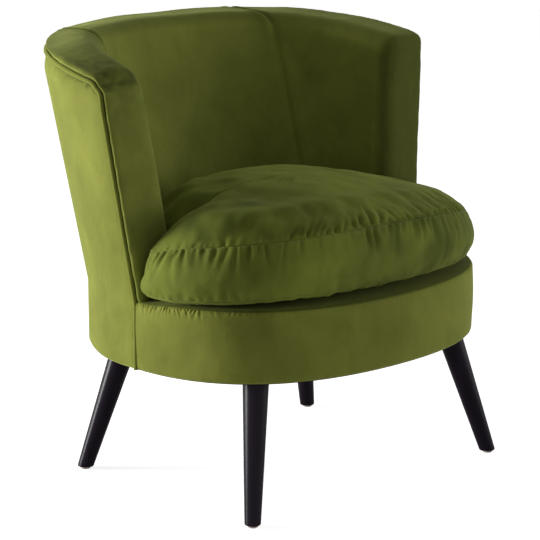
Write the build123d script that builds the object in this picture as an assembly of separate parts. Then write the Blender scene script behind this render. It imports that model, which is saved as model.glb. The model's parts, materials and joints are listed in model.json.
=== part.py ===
from build123d import *
import os
from math import atan2, cos, degrees, hypot, radians, sin, sqrt, tan

# Round tub chair with a flared wrap-around back, a loose T-shaped seat cushion and four splayed legs.
# Millimetres, +Z up, front towards -Y. The origin is on the floor, under the middle of the footprint.

# ---------------------------------------------------------------- plan of the round base
half_width = 341  # at the widest line, which crosses the chair just in front of the back's front edges
front_reach = 267  # from the widest line forward
rear_reach = 324  # from the widest line back
front_fullness = 0.82  # how far the front curve runs straight across before it turns
shoulder_fullness = 0.47  # how far the sides run straight forward
hip_fullness = 0.26  # how far the sides run straight back
rear_fullness = 0.92  # how far the rear curve runs straight across before it turns

# ---------------------------------------------------------------- heights
glide_thickness = 4
base_bottom = 228
bend_height = 340  # the walls are upright below this and flare above it
deck_padding = 10.5
back_height = 746  # top piping at the middle of the back

# ---------------------------------------------------------------- flared back
wall_thickness = 100
wall_spread = 50  # how much wider each side is at the top piping
wall_rake = 36  # how much further back the top is, besides its spread
front_edge_setback = 20  # from the widest line to the front piping
edge_lean = 5.2  # degrees that the front edges lean back
edge_padding = 14  # padding that stands proud of the piping at the top and the front edges
corner_radius = 48  # where each front edge turns into the top edge
tight_corner = 6  # least radius of that corner on the frame inside
top_arc_radius = 1750  # gentle rise of the top edge towards the rear
roll_radius = 36  # rolled inner edge
edge_round = 8  # outer edge of the padding, beside the piping
panel_seam = 205  # the two seams of the inside back, from the middle

# ---------------------------------------------------------------- layers of the upholstery, from outside
cover = 1.5  # velvet and its backing
wadding = 7.5
board = 3  # hardboard
frame_depth = 21
frame_setback = 40  # the frame stays this far inside the padded edges
piping_width = 7
piping_proud = 2
piping_depth = 4
lip_radius = 10  # rounded top edge of the seat base
lip_angles = (0, 30, 60, 80)

# ---------------------------------------------------------------- seat frame
dust_cover = 1
dust_cover_inset = 6  # its edge is turned in and clears the piping's ends
ring_thickness = 18  # birch plywood
bottom_ring_width = 85
top_ring_width = 50
ring_post_depth = 38
ring_post_width = 38
ring_post_angles = (0, 78, 150, 180, 210, 282)  # degrees round from the front
web_strap_width = 60
web_strap_thickness = 1.4
web_pitch = 105
web_ramp = 18
web_end_inset = 36  # the straps are stapled to the top ring this far inside the outline
running_straps = 4
crossing_straps = 3
ease = 0.2  # what lies on the webbing or in a hole has this much room

# ---------------------------------------------------------------- back frame
rail_height = 20
rail_split_height = 640  # the top rail's ends turn down to here and meet the front posts
rib_width = 18
rib_angles = (122, 151, 180, 209, 238)  # degrees round from the front
tacking_rail_height = 30
tacking_rail_rise = 60  # from the bend

# ---------------------------------------------------------------- legs
front_foot = (295, -259)  # on the floor, from the plan's centre
rear_foot = (279, 176)
plan_centre_reach = 50  # the plan's centre lies this far behind the widest line
leg_splay = 18.6  # degrees from upright
leg_top_radius = 22
leg_foot_radius = 13.5
leg_foot_round = 2.5
glide_radius = 9
glide_pin_radius = 1.2
glide_pin_length = 14
bolt_radius = 4
bolt_length = 80
bolt_in_leg = 32
tee_nut_radius = 10
tee_nut_flange = 1.6
tee_barrel_radius = 5.2
tee_barrel_length = 11
leg_block_length = 58
leg_block_width = 56
leg_block_height = 24  # at the leg's axis, square to it at the top
glide_rim = 2.5
hole_ease = 0.1
ring_hole_ease = 0.5
cloth_hole_ease = 0.4

# ---------------------------------------------------------------- loose cushion
cushion_gap = 0.3  # above the deck
cushion_side_gap = 4  # to the inside of the back
cushion_front_inset = 1
cushion_wrap = 12  # polyester fibre round the foam
ear_radius = 16
ear_reach = 5  # the ears' backs past the widest line
neck_radius = 16
bottom_seam_rise = 8
bulge_rise = 53
top_seam_rise = 110
crown_rise = 158
bottom_tuck = 16
bottom_seam_tuck = 5
top_seam_tuck = 7
side_fullness = 0.3
corner_fullness = 0.7
crown_scales = (0.94, 0.78, 0.45, 0.12)  # sizes of the level sections over the top seam, against the seam's own
crown_fills = (0.08, 0.3, 0.7, 1)  # how far the ears and necks fade out at those levels
crown_squareness = 2.5  # 2 would be an elliptical dome
ear_fade = 0.7  # share of the ears' width that is gone where they have faded out
zip_arc_radius = 430
zip_arc_angle = 16.5  # degrees to each side of the middle of the cushion's back edge
zip_half_angle = 15
zip_width = 14
slider_angle = 13.5
slider_length = 12
slider_height = 10
slider_thickness = 3
slider_gap = 1.3

# ---------------------------------------------------------------- worked out
widest_y = (front_reach - rear_reach - wall_spread - wall_rake - piping_proud) / 2
plan_centre_y = widest_y + plan_centre_reach
board_inset = cover + wadding
frame_inset = board_inset + board
inner_board_inset = frame_inset + frame_depth
back_foam_inset = inner_board_inset + board
deck_top = bend_height + deck_padding + cover
webbing_level = bend_height - ease - 2 * web_strap_thickness
top_ring_bottom = webbing_level - ring_thickness
bottom_ring_bottom = base_bottom + dust_cover
bottom_ring_top = bottom_ring_bottom + ring_thickness
piping_line = edge_padding - piping_width / 2
tacking_rail_bottom = bend_height + tacking_rail_rise
far = 700  # past every side of the chair


def flare(height):
    """Share of the flare reached at a height."""
    return max(0, height - bend_height) / (back_height - bend_height)


def plan(inset, height):
    """The chair's outline at one height, drawn in by inset."""
    grow = wall_spread * flare(height) - inset
    wide = half_width + grow
    middle = widest_y + wall_rake * flare(height)
    front = middle - front_reach - grow
    rear = middle + rear_reach + grow
    shoulder = middle + (front - middle) * shoulder_fullness
    hip = middle + (rear - middle) * hip_fullness
    quarters = [
        Bezier((0, front), (wide * front_fullness, front), (wide, shoulder), (wide, middle)),
        Bezier((wide, middle), (wide, hip), (wide * rear_fullness, rear), (0, rear)),
        Bezier((0, rear), (-wide * rear_fullness, rear), (-wide, hip), (-wide, middle)),
        Bezier((-wide, middle), (-wide, shoulder), (-wide * front_fullness, front), (0, front)),
    ]
    return Pos(0, 0, height) * make_face(quarters)


def tub(inset, low, high):
    """Everything inside the outline between two heights."""
    levels = [low, bend_height, high] if low < bend_height < high else [low, high]
    return loft([plan(inset, level) for level in levels], ruled=True)


def ring(outer_inset, inner_inset, low, high):
    return tub(outer_inset, low, high) - tub(inner_inset, low, high)


def side_profile(inset):
    """The back seen from the side, drawn in by inset: leaning front edge, round corner, rising top edge."""
    front = widest_y + front_edge_setback - edge_padding + inset
    rear = widest_y + rear_reach + wall_spread + wall_rake
    radius = top_arc_radius - inset
    arc_centre = back_height + edge_padding - top_arc_radius
    lean = tan(radians(edge_lean))
    front_at_centre = front + (arc_centre - bend_height) * lean - rear
    slope = 1 + lean * lean
    rise = (sqrt(radius * radius * slope - front_at_centre ** 2) - lean * front_at_centre) / slope
    corner = (rear + front_at_centre + lean * rise, arc_centre + rise)
    end = (far, arc_centre + sqrt(radius * radius - (far - rear) ** 2))
    with BuildSketch(Plane.YZ) as profile:
        with BuildLine():
            Polyline((front, 0), (front, bend_height), corner)
            ThreePointArc(corner, (rear, arc_centre + radius), end)
            Polyline(end, (far, 0), (front, 0))
        make_face()
        corner_vertex = profile.vertices().sort_by_distance(corner)[0]
        fillet(corner_vertex, max(corner_radius - inset, tight_corner))
    return profile.sketch


def side_slab(inset):
    return extrude(side_profile(inset), far, both=True)


def rim_edges(body, outermost):
    """The edges along the front and the top of the back's outermost faces, or else its innermost."""
    walls = [face for face in body.faces() if face.geom_type == GeomType.BSPLINE]
    reach = [abs(face.center().X) for face in walls]
    limit = max(reach) if outermost else min(reach)
    found = []
    for face, sideways in zip(walls, reach):
        if abs(sideways - limit) < 1:
            for edge in face.edges():
                box = edge.bounding_box()
                at_bottom = box.size.Z < 0.01
                at_middle = box.size.X < 0.01 and abs(box.center().X) < 0.01
                if not at_bottom and not at_middle:
                    found.append(edge)
    return found


def padded_wall(inset, low):
    """The padded back above the seat with its rolled edges, drawn in by inset."""
    high = back_height + 2 * edge_padding
    walls = ring(inset, wall_thickness - inset, low, high) & side_slab(inset)
    walls = walls.fillet(roll_radius - inset, rim_edges(walls, outermost=False))
    return walls.fillet(edge_round - inset, rim_edges(walls, outermost=True))


def slice_between(low, high):
    """A thick level plate between two heights."""
    return Pos(0, 0, (low + high) / 2) * Box(2 * far, 2 * far, high - low)


def radial_plate(angle, width):
    """An upright plate from the plan's centre outwards, angle degrees round from the front."""
    plate = Pos(far / 2, 0, 0) * Box(far, width, 4 * far)
    return Pos(0, plan_centre_y, 0) * Rot(0, 0, angle - 90) * plate


def save(name, shape):
    export_step(shape, f"parts/{name}.step")


os.makedirs("parts", exist_ok=True)

# ---------------------------------------------------------------- piping and the regions it divides
top = back_height + 2 * edge_padding
inside_piping = side_slab(piping_line)
behind_piping = side_slab(piping_line + piping_width)
frame_region = side_slab(frame_setback)
piping = ring(-piping_proud, piping_depth, base_bottom, top) & (inside_piping - behind_piping)
save("back_piping", piping)

# ---------------------------------------------------------------- back: covers and padding
wall_outside = padded_wall(0, bend_height)
wall_foam_outside = padded_wall(cover, bend_height)
outside_cover = ring(0, cover, base_bottom, top) & behind_piping
save("outside_back_cover", outside_cover)

lining = wall_outside - wall_foam_outside - (inside_piping - tub(cover, bend_height - 1, top))
middle_strip = Box(2 * panel_seam, 4 * far, 4 * far)
save("inside_back_cover_middle", lining & middle_strip)
side_linings = lining - middle_strip
save("inside_back_cover_right", side_linings & (Pos(far, 0, 0) * Box(2 * far, 4 * far, 4 * far)))
save("inside_back_cover_left", side_linings & (Pos(-far, 0, 0) * Box(2 * far, 4 * far, 4 * far)))

frame_pocket = ring(-1, back_foam_inset, bend_height - 1, top) & frame_region
back_foam = wall_foam_outside - frame_pocket - piping
save("back_foam", back_foam)
save("outer_wadding", ring(cover, board_inset, bend_height, top) & frame_region)
save("outer_back_board", ring(board_inset, frame_inset, bend_height, top) & frame_region)
save("inner_back_board", ring(inner_board_inset, back_foam_inset, bend_height, top) & frame_region)

# ---------------------------------------------------------------- back: frame
frame_zone = ring(frame_inset, inner_board_inset, webbing_level, top)
under_rail = side_slab(frame_setback + rail_height)
edge_band = frame_zone & (frame_region - under_rail)
save("top_rail", edge_band & slice_between(rail_split_height, top))
front_posts = edge_band & slice_between(0, rail_split_height)
save("front_post_right", front_posts & (Pos(far, 0, 0) * Box(2 * far, 4 * far, 4 * far)))
save("front_post_left", front_posts & (Pos(-far, 0, 0) * Box(2 * far, 4 * far, 4 * far)))

ribs = [frame_zone & under_rail & radial_plate(angle, rib_width) for angle in rib_angles]
for number, rib in enumerate(ribs, 1):
    save(f"back_rib_{number}", rib)
tacking_zone = slice_between(tacking_rail_bottom, tacking_rail_bottom + tacking_rail_height)
tacking_rails = frame_zone & under_rail & tacking_zone
for rib in ribs:
    tacking_rails -= rib
save("tacking_rails", tacking_rails)

# ---------------------------------------------------------------- seat base: frame
bottom_ring = ring(frame_inset, frame_inset + bottom_ring_width, bottom_ring_bottom, bottom_ring_top)
save("top_ring", ring(frame_inset, frame_inset + top_ring_width, top_ring_bottom, webbing_level))
post_zone = ring(frame_inset, frame_inset + ring_post_depth, bottom_ring_top, top_ring_bottom)
for number, angle in enumerate(ring_post_angles, 1):
    save(f"ring_post_{number}", post_zone & radial_plate(angle, ring_post_width))


def woven_strap(length, crossings, over_first):
    """A strap along X whose middle is at the origin, over and under the straps that it crosses."""
    lower = [(-length / 2, 0)]
    over = over_first
    for place in crossings:
        rise = web_strap_thickness if over else 0
        for step in (-1, 1):
            edge = place + step * web_strap_width / 2
            ramp = (edge + step * web_ramp, 0)
            plateau = (edge, rise)
            lower += [ramp, plateau] if step < 0 else [plateau, ramp]
        over = not over
    lower.append((length / 2, 0))
    kept = [point for index, point in enumerate(lower) if index == 0 or point != lower[index - 1]]
    upper = [(along, height + web_strap_thickness) for along, height in reversed(kept)]
    strip = make_face(Plane.XZ * Polyline(*kept, *upper, close=True))
    return extrude(strip, web_strap_width / 2, both=True)


def spread_out(count):
    return [web_pitch * (number - (count - 1) / 2) for number in range(count)]


web_bed = tub(web_end_inset, webbing_level, bend_height)
for number, place in enumerate(spread_out(running_straps), 1):
    strap = woven_strap(2 * half_width, spread_out(crossing_straps), number % 2 == 0)
    strap = Pos(place, plan_centre_y, webbing_level) * Rot(0, 0, 90) * strap
    save(f"web_strap_running_{number}", strap & web_bed)
for number, place in enumerate(spread_out(crossing_straps), 1):
    strap = woven_strap(2 * half_width, spread_out(running_straps), number % 2 == 1)
    strap = Pos(0, plan_centre_y + place, webbing_level) * strap
    save(f"web_strap_crossing_{number}", strap & web_bed)

# ---------------------------------------------------------------- seat base: padding and covers
in_front = slice_between(0, 2 * far) - inside_piping
save("base_board", ring(board_inset, frame_inset, bottom_ring_bottom, webbing_level))
save("base_padding", ring(cover, board_inset, bottom_ring_bottom, bend_height) - piping)
lip_start = deck_top - lip_radius
behind_walls = ring(-1, wall_thickness / 2, bend_height, deck_top) & side_slab(0)


def rounded_lip(inset):
    """The topmost slice of the seat base inside the cover's rounded lip."""
    radius = lip_radius - inset
    sections = []
    for angle in lip_angles:
        tuck = radius * (1 - cos(radians(angle)))
        sections.append(plan(inset + tuck, lip_start + radius * sin(radians(angle))))
    return loft(sections)


in_wall = wall_outside + behind_walls
lip_padding = rounded_lip(cover)
save("deck_cover", rounded_lip(0) - lip_padding - in_wall)
save("deck_padding", tub(cover, bend_height, lip_start) + lip_padding - in_wall)
save("seat_band_cover", (ring(0, cover, base_bottom, lip_start) & in_front) - wall_outside)

# ---------------------------------------------------------------- legs and what holds them
lean_share = tan(radians(leg_splay))
axis_stretch = 1 / cos(radians(leg_splay))


def along_leg(foot, height):
    """A plane square to the leg's axis, where the axis passes a height above the floor."""
    outward = hypot(*foot)
    away = Vector(foot[0] / outward, foot[1] / outward, 0)
    upward = Vector(0, 0, 1) - away * lean_share
    point = Vector(foot[0], plan_centre_y + foot[1], 0) + upward * height
    return Plane(origin=point, x_dir=away.cross(Vector(0, 0, 1)), z_dir=upward)


def rod(foot, start, length, radius):
    """A cylinder on the leg's axis from a height above the floor."""
    base = Align.CENTER, Align.CENTER, Align.MIN
    return along_leg(foot, start) * Cylinder(radius, length, align=base)


def turned_leg(foot):
    """A tapered round leg, cut level at both ends, bored for its bolt and its glide's pin."""
    taper = (leg_top_radius - leg_foot_radius) / (bottom_ring_bottom - glide_thickness)
    spare = 2 * leg_top_radius
    low = glide_thickness - spare
    high = bottom_ring_bottom + spare
    length = (high - low) * axis_stretch
    base = Align.CENTER, Align.CENTER, Align.MIN
    taper_low = leg_foot_radius - taper * spare
    taper_high = leg_top_radius + taper * spare
    blank = along_leg(foot, low) * Cone(taper_low, taper_high, length, align=base)
    leg = blank & slice_between(glide_thickness, bottom_ring_bottom)
    leg = fillet(leg.edges().sort_by(Axis.Z)[0], leg_foot_round)
    bolt_start = bottom_ring_bottom - (bolt_in_leg + 1) / axis_stretch
    leg -= rod(foot, bolt_start, bolt_length, bolt_radius + hole_ease)
    return leg - glide_pin(foot, hole_ease)


def glide_pin(foot, more):
    point = along_leg(foot, glide_thickness).origin
    base = Align.CENTER, Align.CENTER, Align.MIN
    return Pos(point.X, point.Y, glide_thickness) * Cylinder(
        glide_pin_radius + more, glide_pin_length + more, align=base
    )


def glide(foot):
    """A round glide with a rounded rim, on its pin."""
    point = along_leg(foot, glide_thickness).origin
    base = Align.CENTER, Align.CENTER, Align.MIN
    pad = Cylinder(glide_radius, glide_thickness, align=base)
    pad = fillet(pad.edges().sort_by(Axis.Z)[0], glide_rim)
    return Pos(point.X, point.Y, 0) * pad + glide_pin(foot, 0)


def leg_block(foot):
    """A wedge block on the ring, its top square to the leg's axis."""
    point = along_leg(foot, bottom_ring_top).origin
    turn = degrees(atan2(foot[1], foot[0]))
    base = Align.CENTER, Align.CENTER, Align.MIN
    blank = Box(leg_block_length, leg_block_width, 3 * leg_block_height, align=base)
    blank = Pos(point.X, point.Y, bottom_ring_top) * Rot(0, 0, turn) * blank
    above = Box(far, far, far, align=base)
    blank -= along_leg(foot, bottom_ring_top + leg_block_height) * above
    return blank - rod(foot, bottom_ring_bottom, 2 * bolt_length, tee_barrel_radius + hole_ease)


def tee_nut(foot):
    block_top = bottom_ring_top + leg_block_height
    barrel = rod(foot, block_top - tee_barrel_length / axis_stretch, tee_barrel_length, tee_barrel_radius)
    flange = rod(foot, block_top, tee_nut_flange, tee_nut_radius)
    return barrel + flange - rod(foot, bottom_ring_bottom, 2 * bolt_length, bolt_radius + hole_ease)


feet = {
    "front_left": (-front_foot[0], front_foot[1]),
    "front_right": front_foot,
    "rear_left": (-rear_foot[0], rear_foot[1]),
    "rear_right": rear_foot,
}
bolts = []
tee_nuts = []
underside = tub(dust_cover_inset, base_bottom, bottom_ring_bottom)
for place, foot in feet.items():
    leg = turned_leg(foot)
    save(f"leg_{place}", leg)
    save(f"glide_{place}", glide(foot))
    save(f"leg_block_{place}", leg_block(foot))
    bolts.append(rod(foot, bottom_ring_bottom - bolt_in_leg / axis_stretch, bolt_length, bolt_radius))
    tee_nuts.append(tee_nut(foot))
    bottom_ring -= rod(foot, base_bottom, 2 * ring_thickness, bolt_radius + ring_hole_ease)
    underside -= rod(foot, glide_thickness, 2 * base_bottom, leg_top_radius + cloth_hole_ease)
save("hanger_bolts", Compound(children=bolts))
save("tee_nuts", Compound(children=tee_nuts))
save("bottom_ring", bottom_ring)
save("underside_cloth", underside)

# ---------------------------------------------------------------- loose cushion
cushion_base = deck_top + cushion_gap
zip_centre_y = widest_y + rear_reach - wall_thickness - cushion_side_gap - zip_arc_radius


def cushion_outline(tuck, height, size=1, fill=0):
    """T-shaped outline: round front with an ear before each wall end, narrower between the walls."""
    widest = half_width - cushion_front_inset - tuck
    between_walls = half_width - wall_thickness - cushion_side_gap - tuck
    faded = ear_fade * fill
    wide = widest - (widest - between_walls) * faded / 2
    narrow = between_walls + (widest - between_walls) * faded / 2
    front = widest_y - front_reach + cushion_front_inset + tuck
    back_of_ears = widest_y + ear_reach - tuck
    shoulder = back_of_ears + (front - back_of_ears) * shoulder_fullness
    ear = max(ear_radius - tuck / 2, ear_radius / 3) * (1 - faded)
    neck = (neck_radius + tuck / 2) * (1 - faded)
    arc = zip_arc_radius - tuck
    turn = radians(zip_arc_angle)
    arc_end_x = arc * sin(turn)
    arc_end_y = zip_centre_y + arc * cos(turn)
    start = back_of_ears + neck
    side = start + (arc_end_y - start) * side_fullness
    pull = (narrow - arc_end_x) * corner_fullness
    middle = (front + zip_centre_y + arc) / 2

    def at(across, along):
        return across * size, middle + (along - middle) * size

    right = [
        Bezier(at(0, front), at(wide * front_fullness, front), at(wide, shoulder), at(wide, back_of_ears - ear)),
        CenterArc(at(wide - ear, back_of_ears - ear), ear * size, 0, 90),
        Line(at(wide - ear, back_of_ears), at(narrow + neck, back_of_ears)),
        CenterArc(at(narrow + neck, back_of_ears + neck), neck * size, 180, 90),
        Bezier(
            at(narrow, start),
            at(narrow, side),
            at(arc_end_x + cos(turn) * pull, arc_end_y - sin(turn) * pull),
            at(arc_end_x, arc_end_y),
        ),
    ]
    rear = CenterArc(at(0, zip_centre_y), arc * size, 90 - zip_arc_angle, 2 * zip_arc_angle)
    left = [mirror(edge, about=Plane.YZ) for edge in right]
    return Pos(0, 0, height) * make_face([*right, rear, *left])


def cushion_form(inset):
    """The whole cushion drawn in by inset: tucked under, bulging sides, drawn in at the top seam, crowned."""
    shrink = 1 - 2 * inset / crown_rise
    sides = []
    side_levels = ((0, bottom_tuck), (bottom_seam_rise, bottom_seam_tuck), (bulge_rise, 0))
    for rise, tuck in side_levels:
        sides.append(cushion_outline(tuck + inset, cushion_base + inset + rise * shrink))
    seam_height = cushion_base + inset + top_seam_rise * shrink
    seam_outline = cushion_outline(top_seam_tuck + inset, seam_height)
    crown = [seam_outline]
    for size, fill in zip(crown_scales, crown_fills):
        dome = (1 - size ** crown_squareness) ** (1 / crown_squareness)
        height = seam_height + (crown_rise - top_seam_rise) * shrink * dome
        crown.append(cushion_outline(top_seam_tuck + inset, height, size, fill))
    return loft([*sides, seam_outline]) + loft(crown)


whole = cushion_form(0)
inside_casing = cushion_form(cover)
foam_core = cushion_form(cover + cushion_wrap)
casing = whole - inside_casing
top_seam = cushion_base + top_seam_rise
bottom_seam = cushion_base + bottom_seam_rise
bulge = cushion_base + bulge_rise
save("cushion_top_panel", casing & slice_between(top_seam, 2 * top_seam))
save("cushion_bottom_panel", casing & slice_between(0, bottom_seam))
boxing = casing & slice_between(bottom_seam, top_seam)
zip_half_length = zip_arc_radius * sin(radians(zip_half_angle))
behind_middle = Pos(0, widest_y + rear_reach / 2 + far, bulge) * Box(2 * zip_half_length, 2 * far, zip_width)
save("cushion_boxing", boxing - behind_middle)
save("cushion_zip", boxing & behind_middle)
save("cushion_wrap", inside_casing - foam_core)
save("cushion_foam", foam_core)

slider_zone = slice_between(bulge - slider_height / 2, bulge + slider_height / 2)
outer = Cylinder(zip_arc_radius + slider_gap + slider_thickness, 2 * far)
inner = Cylinder(zip_arc_radius + slider_gap, 2 * far)
strip = Pos(0, far, 0) * Box(slider_length, 2 * far, 2 * far)
slider = (outer - inner) & strip & slider_zone
save("zip_slider", Pos(0, zip_centre_y, 0) * Rot(0, 0, -slider_angle) * slider)
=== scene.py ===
import json
from math import atan2, cos, pi, radians, sin, sqrt, tan

import bmesh
import bpy
import numpy as np
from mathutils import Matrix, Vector
from mathutils.bvhtree import BVHTree
from mathutils.kdtree import KDTree


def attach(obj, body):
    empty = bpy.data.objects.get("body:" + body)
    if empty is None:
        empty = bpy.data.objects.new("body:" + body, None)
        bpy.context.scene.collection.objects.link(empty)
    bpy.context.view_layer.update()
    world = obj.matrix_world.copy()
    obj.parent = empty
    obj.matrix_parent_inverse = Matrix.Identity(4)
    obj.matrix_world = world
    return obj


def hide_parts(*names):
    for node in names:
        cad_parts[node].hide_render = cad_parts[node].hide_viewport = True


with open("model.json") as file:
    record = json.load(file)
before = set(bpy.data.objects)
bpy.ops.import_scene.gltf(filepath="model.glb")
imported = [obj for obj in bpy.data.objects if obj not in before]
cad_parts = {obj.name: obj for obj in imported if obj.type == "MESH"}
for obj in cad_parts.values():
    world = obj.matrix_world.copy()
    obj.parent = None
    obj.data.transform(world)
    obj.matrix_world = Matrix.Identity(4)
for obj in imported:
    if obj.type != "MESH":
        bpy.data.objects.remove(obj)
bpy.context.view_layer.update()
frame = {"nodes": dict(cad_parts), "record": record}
nodes = frame["nodes"]

# Tub chair in olive velvet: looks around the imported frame. Metres, +Z up, front towards -Y.

# ---- sizes shared with the solids
HALF_WIDTH = 0.341
FRONT_REACH = 0.267
REAR_REACH = 0.324
FRONT_FULLNESS = 0.82
SHOULDER_FULLNESS = 0.47
HIP_FULLNESS = 0.26
REAR_FULLNESS = 0.92
BASE_BOTTOM = 0.228
BEND = 0.34
BACK_HEIGHT = 0.746
WALL = 0.1
SPREAD = 0.05
RAKE = 0.036
SETBACK = 0.02
LEAN = tan(radians(5.2))
EDGE_PADDING = 0.014
CORNER = 0.048
TIGHT_CORNER = 0.006
TOP_ARC = 1.75
CUSHION_BASE = 0.3523
BOTTOM_SEAM = 0.3603
TOP_SEAM = 0.4623
PANEL_SEAM = 0.205
ZIP_RADIUS = 0.43
ZIP_TURN = 16.5  # degrees of arc to each side of the cushion's rear middle
ZIP_HEIGHT = CUSHION_BASE + 0.053
TAPE_PROUD = 0.0004  # how far the tape stands out of the boxing
CUSHION_INSET = 0.001
CUSHION_REACH = 0.31  # from the cushion's middle to its edge, about
CUSHION_MIDDLE_Y = -0.09
WALL_GAP = 0.004
EAR_RADIUS = 0.016
EAR_REACH = 0.005
EAR_FADE = 0.7
WIDEST_Y = (FRONT_REACH - REAR_REACH - SPREAD - RAKE - 0.002) / 2
PLAN_CENTRE_Y = WIDEST_Y + 0.05
REAR_Y = WIDEST_Y + REAR_REACH + SPREAD + RAKE
ARC_CENTRE = BACK_HEIGHT + EDGE_PADDING - TOP_ARC
ZIP_CENTRE_Y = WIDEST_Y + REAR_REACH - WALL - WALL_GAP - ZIP_RADIUS
PIPE_LINE = EDGE_PADDING
PIPE_RADIUS = 0.0037
SEAM_HEIGHT = 0.3495  # of the seam between the band and the deck
CLOTH = 0.0012


# ---- outline of the chair
def outline(place, height, inset=0.0):
    """Points on the outline: place 0 is the rear middle, 1 the widest line at +X, 2 the front middle."""
    place, height, inset = np.broadcast_arrays(*(np.asarray(v, float) for v in (place, height, inset)))
    flare = np.maximum(0, height - BEND) / (BACK_HEIGHT - BEND)
    grow = SPREAD * flare - inset
    wide = HALF_WIDTH + grow
    middle = WIDEST_Y + RAKE * flare
    front = middle - FRONT_REACH - grow
    rear = middle + REAR_REACH + grow
    shoulder = middle + (front - middle) * SHOULDER_FULLNESS
    hip = middle + (rear - middle) * HIP_FULLNESS
    turn = np.abs(place)
    behind = turn <= 1
    t = np.where(behind, turn, turn - 1)
    near, lead, trail, end = (1 - t) ** 3, 3 * t * (1 - t) ** 2, 3 * t * t * (1 - t), t**3
    x = np.where(
        behind,
        lead * wide * REAR_FULLNESS + (trail + end) * wide,
        (near + lead) * wide + trail * wide * FRONT_FULLNESS,
    )
    y = np.where(
        behind,
        (near + lead) * rear + trail * hip + end * middle,
        near * middle + lead * shoulder + (trail + end) * front,
    )
    return np.sign(place) * x, y


def front_line(height, inset):
    """How far forward the back's front edge reaches at a height."""
    return WIDEST_Y + SETBACK - EDGE_PADDING + inset + np.maximum(0, height - BEND) * LEAN


def corner_of(inset):
    """Centre and radius of the rounded corner between the front edge and the top edge, from the side."""
    radius = max(CORNER - inset, TIGHT_CORNER)
    heights = np.linspace(0.5, 0.8, 3001)
    along = front_line(heights, inset) + radius * sqrt(1 + LEAN * LEAN)
    error = np.hypot(along - REAR_Y, heights - ARC_CENTRE) - (TOP_ARC - inset - radius)
    pick = int(np.argmin(np.abs(error)))
    return float(along[pick]), float(heights[pick]), radius


def top_line(along, inset):
    """Height of the top edge over a place from front to rear, rounded into the front edge."""
    centre_y, centre_z, radius = corner_of(inset)
    arc = ARC_CENTRE + np.sqrt((TOP_ARC - inset) ** 2 - (along - REAR_Y) ** 2)
    share = (TOP_ARC - inset) / (TOP_ARC - inset - radius)
    tangent_y = REAR_Y + (centre_y - REAR_Y) * share
    inside = np.clip(radius**2 - (along - centre_y) ** 2, 0, None)
    low = centre_z + radius * LEAN / sqrt(1 + LEAN * LEAN)
    corner = np.maximum(centre_z + np.sqrt(inside), low)
    return np.where(along >= tangent_y, arc, corner)


PLACES = np.linspace(0, 1, 801)


def place_at(along, height, inset=0.0):
    """The outline's place on the +X side where it passes a distance from front to rear."""
    _, y = outline(PLACES, height, inset)
    return float(np.interp(-along, -y, PLACES))


# ---- mesh helpers
def fade(value, start, width):
    """0 below start, 1 beyond start + width; with a negative width it falls where value rises."""
    return np.clip((value - start) / width, 0, 1)


def smoothed(share):
    """The same 0 to 1, but setting off and stopping gently."""
    return share * share * (3 - 2 * share)


def bump_curve(distance, width):
    """1 at distance 0, fading to 0 over width."""
    return np.exp(-((distance / width) ** 2))


def arc_lengths(path):
    """The way along a line of points up to each of them."""
    return np.concatenate([[0], np.cumsum(np.linalg.norm(np.diff(path, axis=0), axis=1))])


def unit(vectors):
    """The same directions with a length of 1."""
    return vectors / np.linalg.norm(vectors, axis=-1, keepdims=True)


def smooth_noise(points, scale, seed):
    """Soft random values near -1 to 1, the same in every run."""
    generator = np.random.default_rng(seed)
    total = np.zeros(len(points))
    waves = 24
    for _ in range(waves):
        direction = unit(generator.normal(size=3))
        phase = generator.uniform(0, 2 * pi)
        pitch = scale * generator.uniform(0.6, 1.6)
        total += np.sin(points @ direction * (2 * pi / pitch) + phase)
    return total / sqrt(waves / 2) * 0.6


def vertex_values(mesh, key):
    found = np.empty(len(mesh.vertices) * 3)
    mesh.vertices.foreach_get(key, found)
    return found.reshape(-1, 3)


def coords(obj):
    return vertex_values(obj.data, "co")


def normals(obj):
    return vertex_values(obj.data, "normal")


def outward_normals(obj):
    """Turns a skin's faces away from the chair's middle and returns its normals."""
    facing = normals(obj)
    if (facing * (coords(obj) - (0, PLAN_CENTRE_Y, 0.2))).sum(1).mean() < 0:
        obj.data.flip_normals()
        facing = -facing
    return facing


def set_coords(obj, points):
    obj.data.vertices.foreach_set("co", np.asarray(points, float).ravel())
    obj.data.update()


def link(obj):
    bpy.context.scene.collection.objects.link(obj)
    return obj


def mesh_object(name, points, faces, smooth=True):
    mesh = bpy.data.meshes.new(name)
    mesh.from_pydata([tuple(p) for p in points], [], [tuple(f) for f in faces])
    mesh.update()
    if smooth:
        mesh.polygons.foreach_set("use_smooth", [True] * len(mesh.polygons))
    return link(bpy.data.objects.new(name, mesh))


def grid_faces(rows, columns, closed=False):
    """Four-sided faces between rows of points; closed joins each row's end to its start."""
    faces = []
    for low in range(0, (rows - 1) * columns, columns):
        high = low + columns
        for column in range(columns if closed else columns - 1):
            right = (column + 1) % columns
            faces.append((low + column, low + right, high + right, high + column))
    return faces


def fan(ring, middle):
    """Triangles from a closed ring of points to one in its middle."""
    return [(first, second, middle) for first, second in zip(ring, [*ring[1:], ring[0]])]


def bar_faces(base, rings, sides):
    """Faces of a bar made of rings of points, its ends closed; base is the number of its first point."""
    tube = [tuple(base + corner for corner in face) for face in grid_faces(rings, sides, closed=True)]
    last = base + (rings - 1) * sides
    return [*tube, tuple(range(base + sides - 1, base - 1, -1)), tuple(range(last, last + sides))]


def set_up(thing, **values):
    for key, value in values.items():
        setattr(thing, key, value)
    return thing


def evaluated_mesh(obj):
    return bpy.data.meshes.new_from_object(obj.evaluated_get(bpy.context.evaluated_depsgraph_get()))


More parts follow.
